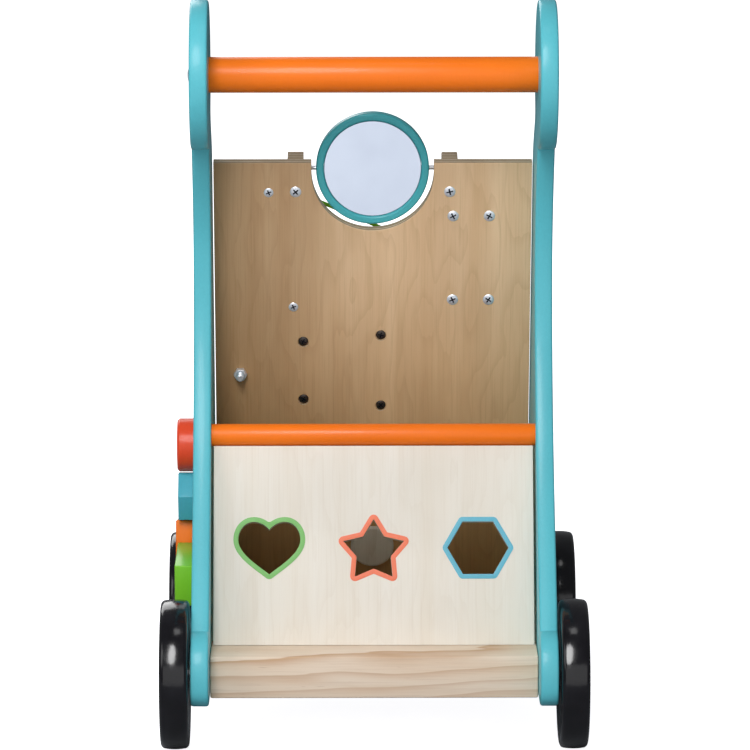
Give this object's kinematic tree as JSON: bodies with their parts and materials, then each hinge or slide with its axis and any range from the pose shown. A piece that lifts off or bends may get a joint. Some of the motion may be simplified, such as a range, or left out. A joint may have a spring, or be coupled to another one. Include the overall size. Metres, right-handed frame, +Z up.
{
  "type": "baby walker",
  "caption": "Wooden push-along baby walker with painted side panels, an orange push bar, an activity board with a flip mirror and a shape sorter, on four wheels.",
  "frame": {"origin": "on the floor, midway between the four wheels", "axes": "+Z up, +Y forwards in the walking direction, away from the child, +X to the child's right"},
  "size_m": [0.2844, 0.3, 0.4934],
  "materials": {
    "turquoise_paint": "gloss paint on wood",
    "orange_paint": "gloss paint on wood",
    "red_paint": "satin paint on wood",
    "green_paint": "satin paint on wood",
    "yellow_paint": "satin paint on wood",
    "white_paint": "satin paint on wood",
    "blue_paint": "satin paint on wood",
    "black_paint": "gloss paint on wood",
    "plywood": "bare plywood, fine vertical grain",
    "pale_plywood": "bare pale plywood",
    "pine": "bare pine with brown grain lines",
    "steel": "zinc plated",
    "mirror": "acrylic mirror"
  },
  "bodies": {
    "frame": {"side_panel_left": "turquoise_paint", "side_panel_right": "turquoise_paint", "tower_shelf_upper": "turquoise_paint", "tower_shelf_lower": "turquoise_paint", "xylophone_bar_1": "turquoise_paint", "handle_bar": "orange_paint", "sorter_bar": "orange_paint", "xylophone_bar_4": "orange_paint", "xylophone_bar_5": "red_paint", "xylophone_bar_2": "green_paint", "bead_wire": "green_paint", "xylophone_bar_3": "yellow_paint", "xylophone_rail_upper": "white_paint", "xylophone_rail_lower": "white_paint", "front_board": "plywood", "floor_panel": "plywood", "mirror_post_left": "plywood", "mirror_post_right": "plywood", "sorter_board": "pale_plywood", "gear_pin_left": "pale_plywood", "gear_pin_centre": "pale_plywood", "gear_pin_right": "pale_plywood", "rear_plank": "pine", "front_batten": "pine", "rear_axle": "steel", "front_axle": "steel", "axle_cap_rear_left": "steel", "axle_cap_rear_right": "steel", "axle_cap_front_left": "steel", "axle_cap_front_right": "steel", "handle_screw_left": "steel", "handle_screw_right": "steel", "mirror_post_screw_left": "steel", "mirror_post_screw_right": "steel", "tower_rod": "steel", "daisy_bolt": "steel", "daisy_nut": "steel"},
    "wheel_rear_left": {"wheel_rear_left": "black_paint"},
    "wheel_rear_right": {"wheel_rear_right": "black_paint"},
    "wheel_front_left": {"wheel_front_left": "black_paint"},
    "wheel_front_right": {"wheel_front_right": "black_paint"},
    "mirror": {"mirror_ring": "turquoise_paint", "mirror_rod": "steel", "mirror_rear": "mirror", "mirror_front": "mirror"},
    "gear_left": {"gear_left": "red_paint"},
    "gear_centre": {"gear_centre": "yellow_paint"},
    "gear_right": {"gear_right": "green_paint"},
    "daisy_wheel": {"daisy_wheel": "orange_paint"},
    "roller_1": {"tower_roller_1": "red_paint"},
    "roller_2": {"tower_roller_2": "yellow_paint"},
    "roller_3": {"tower_roller_3": "green_paint"},
    "bead_upper": {"bead_upper": "red_paint"},
    "bead_middle": {"bead_middle": "yellow_paint"},
    "bead_lower": {"bead_lower": "orange_paint"},
    "red_disc_block": {"red_disc_block": "red_paint"},
    "blue_hexagon_block": {"blue_hexagon_block": "blue_paint"},
    "orange_square_block": {"orange_square_block": "orange_paint"},
    "green_bar_block": {"green_bar_block": "green_paint"}
  },
  "joints": [
    {"name": "rear_left_wheel_spin", "type": "hinge", "parent": "frame", "child": "wheel_rear_left", "pos_m": [-0.1328, -0.1, 0.05], "axis": [1, 0, 0], "continuous": true},
    {"name": "rear_right_wheel_spin", "type": "hinge", "parent": "frame", "child": "wheel_rear_right", "pos_m": [0.1328, -0.1, 0.05], "axis": [1, 0, 0], "continuous": true},
    {"name": "front_left_wheel_spin", "type": "hinge", "parent": "frame", "child": "wheel_front_left", "pos_m": [-0.1328, 0.1, 0.05], "axis": [1, 0, 0], "continuous": true},
    {"name": "front_right_wheel_spin", "type": "hinge", "parent": "frame", "child": "wheel_front_right", "pos_m": [0.1328, 0.1, 0.05], "axis": [1, 0, 0], "continuous": true},
    {"name": "mirror_flip", "type": "hinge", "parent": "frame", "child": "mirror", "pos_m": [0, 0.04448, 0.36946], "axis": [1, 0, 0], "continuous": true},
    {"name": "gear_centre_spin", "type": "hinge", "parent": "frame", "child": "gear_centre", "pos_m": [0, 0.09798, 0.09746], "axis": [0, 0.9799, 0.1994], "continuous": true},
    {"name": "gear_left_spin", "type": "hinge", "parent": "frame", "child": "gear_left", "pos_m": [-0.036, 0.09798, 0.09746], "axis": [0, 0.9799, 0.1994], "continuous": true},
    {"name": "gear_right_spin", "type": "hinge", "parent": "frame", "child": "gear_right", "pos_m": [0.036, 0.09798, 0.09746], "axis": [0, 0.9799, 0.1994], "continuous": true},
    {"name": "daisy_spin", "type": "hinge", "parent": "frame", "child": "daisy_wheel", "pos_m": [-0.0914, 0.07228, 0.22632], "axis": [0, 0.9799, 0.1994], "continuous": true},
    {"name": "roller_1_spin", "type": "hinge", "parent": "frame", "child": "roller_1", "pos_m": [0.0674, 0.06793, 0.29582], "axis": [0, -0.1994, 0.9799], "continuous": true},
    {"name": "roller_2_spin", "type": "hinge", "parent": "frame", "child": "roller_2", "pos_m": [0.0674, 0.06468, 0.31183], "axis": [0, -0.1994, 0.9799], "continuous": true},
    {"name": "roller_3_spin", "type": "hinge", "parent": "frame", "child": "roller_3", "pos_m": [0.0674, 0.06142, 0.32783], "axis": [0, -0.1994, 0.9799], "continuous": true},
    {"name": "bead_upper_slide", "type": "slide", "parent": "frame", "child": "bead_upper", "axis": [0, 0.9799, 0.1994], "range_m": [0, 0.012]},
    {"name": "bead_lower_slide", "type": "slide", "parent": "frame", "child": "bead_lower", "axis": [0, 0.9799, 0.1994], "range_m": [0, 0.012]},
    {"name": "bead_middle_slide", "type": "slide", "parent": "frame", "child": "bead_middle", "axis": [0.9031, 0.1342, -0.4079], "range_m": [0, 0.064]},
    {"name": "red_disc_block_pull", "type": "slide", "parent": "frame", "child": "red_disc_block", "axis": [-1, 0, 0], "range_m": [0, 0.025]},
    {"name": "blue_hexagon_block_pull", "type": "slide", "parent": "frame", "child": "blue_hexagon_block", "axis": [-1, 0, 0], "range_m": [0, 0.025]},
    {"name": "orange_square_block_pull", "type": "slide", "parent": "frame", "child": "orange_square_block", "axis": [-1, 0, 0], "range_m": [0, 0.025]},
    {"name": "green_bar_block_pull", "type": "slide", "parent": "frame", "child": "green_bar_block", "axis": [-1, 0, 0], "range_m": [0, 0.025]}
  ],
  "couplings": [
    {"joint": "gear_left_spin", "follows": "gear_centre_spin", "ratio": -1},
    {"joint": "gear_right_spin", "follows": "gear_centre_spin", "ratio": -1}
  ]
}
